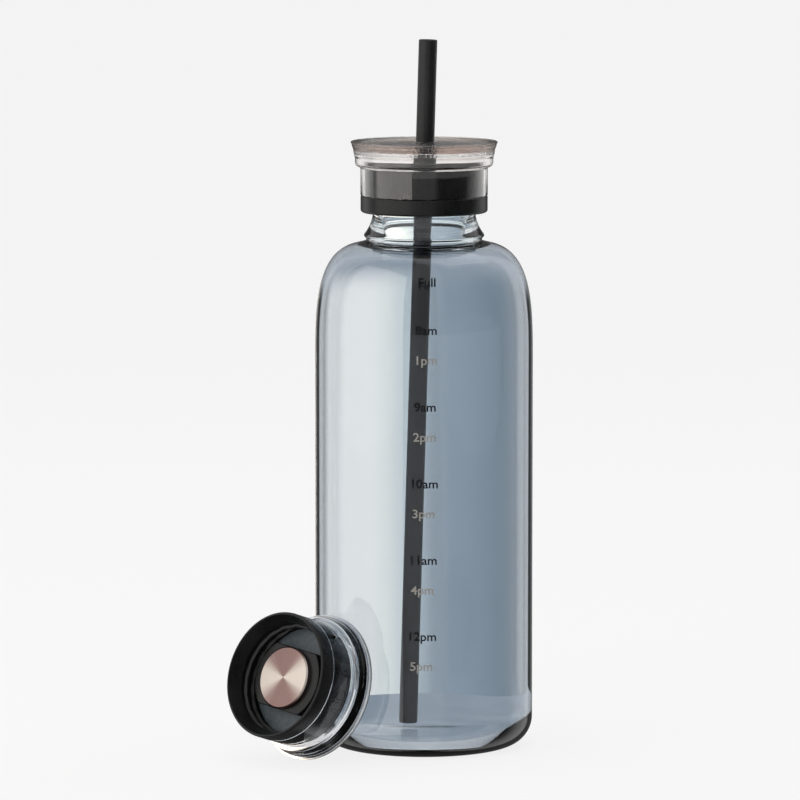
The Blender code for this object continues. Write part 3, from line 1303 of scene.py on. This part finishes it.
@dataclass
class SpareLid:
    """The closed lid that leans on its rim: clear shell, black cap, grey liner, plug and disc."""

    facing: float = 47.5
    tilt: float = 18.4
    bearing: float = 216.85
    distance: float = 52.9
    rest_r: float = 28.9  # the rim's full radius, on which the lid rests
    rest_back: float = 0.3  # how far behind the lid's face the rim is widest
    plug_r: float = 16.4
    plug_flat: float = 12.3
    plug_face: float = 7.3
    plug_turn: float = 6.8
    plug_land: float = 2.2
    plug_edge: float = 0.5
    plug_gap: float = 0.02
    disc_r: float = 12.25
    disc_face: float = 5.2
    disc_gap: float = 0.03
    disc_chamfer: Point = (0.6, 0.55)
    liner_r: float = 21.2
    liner_thickness: float = 1.6
    liner_gap: float = 0.05
    steel_crease: float = 25.0
    cap: ThreadedCap = field(default_factory=ThreadedCap)
    shell: ClearShell = field(default_factory=lambda: ClearShell(24.5, 28.76, 3.3))

    def stand(self) -> Matrix:
        """Tell where the lid's lower edge is and which way it faces.

        Returns:
            The lid's place, with its own Z from the lower edge to the top.
        """
        turn = Euler((0.0, math.radians(90 + self.tilt), math.radians(self.facing))).to_matrix()
        to_top = turn.col[2] * (self.shell.height - self.rest_back)
        rim_up = self.rest_r * math.cos(math.radians(self.tilt))
        bearing = math.radians(self.bearing)
        along, across = self.distance * math.cos(bearing), self.distance * math.sin(bearing)
        rim = Vector((along, across, rim_up))
        return Matrix.Translation((rim - to_top) * MM) @ turn.to_4x4()

    def build(self) -> None:
        """Make the lid's pieces."""
        stand, body = self.stand(), Body.SPARE_LID
        # painted shade: a darker, bluer copy of the clear plastic, standing in for the dark
        # reflections in the spare shell
        clear = ClearPlastic("clear_shell_spare_painted_shade", Slot.CLEAR, stand, (0.5, 0.56, 0.62), 70.0)
        add_piece("spare_lid_clear", self.shell.mesh(), clear, body, ["spare_lid_shell"], stand)
        black = MouldedPlastic("cap_black_spare", Slot.BLACK, stand)
        add_piece("spare_lid_black_cap", self.cap.mesh(), black, body, ["spare_lid_cap"], stand)
        top = self.cap.top - self.cap.plate - self.liner_gap
        liner = [
            Corner(0.0, top),
            Corner(self.liner_r, top, 0.3),
            Corner(self.liner_r, top - self.liner_thickness, 0.3),
            Corner(0.0, top - self.liner_thickness),
        ]
        grey = Silicone("liner_grey", Slot.SILICONE, stand)
        seal = turned(liner, FINE_TURN)
        add_piece("spare_lid_seal", seal, grey, body, ["spare_lid_liner"], stand)
        self.build_plug(stand, top - self.liner_thickness - self.plug_gap)
        self.build_disc(stand)

    def build_plug(self, stand: Matrix, back: float) -> None:
        """Make the round plug with two flats that carries the disc.

        Args:
            stand: Where the lid is.
            back: The height at which the plug meets the liner.
        """
        bm = bmesh.new()
        bmesh.ops.create_circle(bm, cap_ends=True, segments=FINE_TURN, radius=self.plug_r * MM)
        flat = self.plug_flat * MM
        for vert in bm.verts:
            vert.co.x = max(-flat, min(flat, vert.co.x))
        bmesh.ops.remove_doubles(bm, verts=bm.verts[:], dist=FINE_MERGE)
        face = bm.faces[:]
        rim = bmesh.ops.inset_region(bm, faces=face, thickness=self.plug_land * MM)
        bmesh.ops.translate(bm, verts=bm.verts[:], vec=(0.0, 0.0, self.plug_face * MM))
        grown = bmesh.ops.extrude_face_region(bm, geom=face + rim["faces"])
        far = [item for item in grown["geom"] if isinstance(item, bmesh.types.BMVert)]
        bmesh.ops.translate(bm, verts=far, vec=(0.0, 0.0, (back - self.plug_face) * MM))
        bmesh.ops.recalc_face_normals(bm, faces=bm.faces[:])
        sharp = [edge for edge in bm.edges if edge.calc_face_angle(0.0) > math.radians(50)]
        bmesh.ops.bevel(
            bm,
            geom=sharp,
            offset=self.plug_edge * MM,
            segments=4,
            profile=0.5,
            affect="EDGES",
            material=-1,
        )
        turn = Matrix.Rotation(math.radians(self.plug_turn), 4, "Z")
        black = MouldedPlastic("plug_black", Slot.BLACK, stand)
        place = stand @ turn
        add_piece("spare_lid_plug_black", bm, black, Body.SPARE_LID, ["spare_lid_plug"], place)

    def build_disc(self, stand: Matrix) -> None:
        """Make the steel disc, with a bevelled edge and a shallow turned face.

        Args:
            stand: Where the lid is.
        """
        back = self.plug_face - self.disc_gap
        chamfer_in, chamfer_up = self.disc_chamfer
        disc = [
            Corner(0.0, back),
            Corner(self.disc_r, back),
            Corner(self.disc_r, self.disc_face + chamfer_up, 0.2),
            Corner(self.disc_r - chamfer_in, self.disc_face, 0.15),
            Corner(0.0, self.disc_face),
        ]
        steel = TurnedSteel("disc_steel", Slot.STEEL, stand)
        bm = turned(disc, FINE_TURN)
        nodes, crease = ["spare_lid_disc"], self.steel_crease
        add_piece("spare_lid_steel_disc", bm, steel, Body.SPARE_LID, nodes, stand, crease)


# ---------------------------------------------------------------- the studio


@dataclass(frozen=True)
class SoftBox:
    """A glowing card that faces the object. It is seen in reflections and by its light only."""

    name: str
    bearing: float  # degrees round from the front, towards +X
    distance: float
    up: float
    half_width: float
    half_height: float
    bands: tuple[tuple[float, Colour], ...]
    strength: float
    aim_up: float = 0.12

    def place(self) -> Matrix:
        """Tell where the card stands.

        Returns:
            The card's place, with its own X across and Y up.
        """
        angle = math.radians(self.bearing)
        spot = Vector((self.distance * math.sin(angle), -self.distance * math.cos(angle), self.up))
        aim = Vector((0.0, 0.0, self.aim_up)) - spot
        return Matrix.Translation(spot) @ aim.to_track_quat("Z", "Y").to_matrix().to_4x4()

    def finish(self) -> LitCard:
        """Describe its glow."""
        name, half_width = f"{self.name}_glow", self.half_width / MM
        return LitCard(name, None, self.place(), self.bands, half_width, self.strength)


@dataclass
class Studio:
    """A pale seamless floor, soft lights, and the camera."""

    camera_spot: tuple[float, float, float] = (-0.0094, -2.449, 0.409)
    camera_drop: float = 6.36
    lens: float = 283.5
    sensor: float = 36.0
    floor_size: float = 9.0
    dome_share: float = 0.99  # the dome's radius, as a share of the floor's
    card_depth: float = 0.11
    card_half: float = 0.16
    card_strength: float = 3.0
    card_fade: Point = (8.0, 30.0)

    def build(self) -> None:
        """Set up everything that isn't the object."""
        bpy.context.scene.view_settings.view_transform = "Standard"
        self.build_camera()
        self.build_floor()
        self.build_surround()
        self.build_backlight()
        self.build_softboxes()
        self.build_world()

    def build_camera(self) -> None:
        """Make the long-lens camera that looks slightly down."""
        lens = bpy.data.cameras.new("camera")
        lens.lens = self.lens
        lens.sensor_width = self.sensor
        holder = bpy.data.objects.new("camera", lens)
        holder.location = self.camera_spot
        holder.rotation_euler = (math.radians(90 - self.camera_drop), 0.0, 0.0)
        bpy.context.scene.collection.objects.link(holder)
        bpy.context.scene.camera = holder

    def stage_mesh(
        self, name: str, bm: bmesh.types.BMesh, finish: Finish, unseen_by: Sequence[str]
    ) -> None:
        """Make a studio piece, which rides on no body.

        Args:
            name: The piece's name.
            bm: Its mesh, which is moved to the finish's centre.
            finish: What it is dressed in.
            unseen_by: The kinds of ray that pass it by.
        """
        piece = make_object(name, bm, finish, finish.centre)
        for kind in unseen_by:
            setattr(piece, f"visible_{kind}", False)

    def build_floor(self) -> None:
        """Lay the floor."""
        bm = bmesh.new()
        bmesh.ops.create_circle(bm, cap_ends=True, segments=64, radius=self.floor_size)
        self.stage_mesh("floor", bm, GlowingPaper("floor_paper"), ("glossy",))

    def build_surround(self) -> None:
        """Put the object inside a large dome that gives no reflections."""
        bm = bmesh.new()
        radius = self.floor_size * self.dome_share
        bmesh.ops.create_uvsphere(bm, u_segments=48, v_segments=24, radius=radius)
        self.stage_mesh("surround", bm, RoomGlow("surround_glow"), ("glossy", "diffuse", "shadow"))

    def build_backlight(self) -> None:
        """Stand a graduated card close behind the bottle, seen only through glass."""
        bm = bmesh.new()
        bmesh.ops.create_grid(bm, x_segments=1, y_segments=1, size=self.card_half)
        upright = Matrix.Rotation(math.radians(90), 4, "X")
        place = Matrix.Translation((0.0, self.card_depth, self.card_half + MM)) @ upright
        plain, warm, shade = (0.93, 0.93, 0.93), (2.65, 2.3, 1.95), (0.02, 0.02, 0.02)
        bands = (
            (0.0, plain),
            (0.18, plain),
            (0.2, shade),
            (0.3, shade),
            (0.335, warm),
            (0.43, warm),
            (0.452, (2.3, 2.1, 1.75)),
            (0.478, (1.65, 1.6, 1.45)),
            (0.515, (0.91, 0.95, 0.95)),
            (0.555, (0.85, 0.89, 0.92)),
            (0.61, (0.63, 0.7, 0.72)),
            (0.65, (0.7, 0.72, 0.73)),
            (0.695, (0.82, 0.77, 0.7)),
            (0.715, shade),
            (0.82, shade),
            (0.84, plain),
            (1.0, plain),
        )
        sizes = (self.card_half / MM, self.card_strength, self.card_fade)
        finish = LitCard("backlight_glow", None, place, bands, *sizes)
        self.stage_mesh("backlight", bm, finish, ("camera", "glossy", "diffuse", "shadow"))

    def build_softboxes(self) -> None:
        """Stand the tall light at the left and hang the one overhead."""
        dark, white = (0.0, 0.0, 0.0), (1.7, 1.65, 1.6)
        sided = ((0.0, white), (0.8, white), (0.97, dark), (1.0, dark))
        even = ((0.0, (1.6, 1.6, 1.6)), (1.0, (1.6, 1.6, 1.6)))
        left = SoftBox("left_softbox", -64.0, 0.95, 0.45, 0.85, 0.9, sided, 2.0, aim_up=0.45)
        over = SoftBox("top_softbox", 150.0, 0.35, 1.25, 0.65, 0.5, even, 2.0)
        for box in (left, over):
            bm = bmesh.new()
            bmesh.ops.create_grid(bm, x_segments=1, y_segments=1, size=1.0)
            bmesh.ops.scale(bm, verts=bm.verts[:], vec=(box.half_width, box.half_height, 1.0))
            self.stage_mesh(box.name, bm, box.finish(), ("camera",))

    def build_world(self) -> None:
        """Light the room: bright behind at both sides, dim straight behind and to the right."""
        world = bpy.data.worlds.new("room")
        world.use_nodes = True
        bpy.context.scene.world = world
        sheet = NodeSheet(world.node_tree)
        where = Value(sheet, sheet.add("ShaderNodeTexCoord").outputs["Generated"])
        across, depth, up = sheet.parts(where)
        off_line = sheet.maths("ARCTAN2", sheet.maths("ABSOLUTE", across), depth) * (180 / math.pi)
        sides = sheet.span(off_line, 30.0, 42.0, 0.1, 0.95)
        sides -= sheet.span(off_line, 55.0, 85.0, 0.0, 0.88)
        front = sheet.span(off_line, 150.0, 165.0, 0.0, 0.55)
        above = sheet.span(up, 0.35, 0.7, 0.0, 0.35)
        strength = sides + front + above
        glow = sheet.add("ShaderNodeBackground", None, {"Color": WHITE, "Strength": strength})
        sheet.add("ShaderNodeOutputWorld", None, {"Surface": glow.outputs[0]})


def main() -> None:
    """Build the bottle, its marks, both lids and the studio, in that order."""
    logging.basicConfig(level=logging.INFO, format="%(message)s")
    bottle = Bottle()
    bottle.build()
    HourMarks(bottle.body_r).build()
    StrawLid().build()
    SpareLid().build()
    Studio().build()


if __name__ == "__main__":
    main()
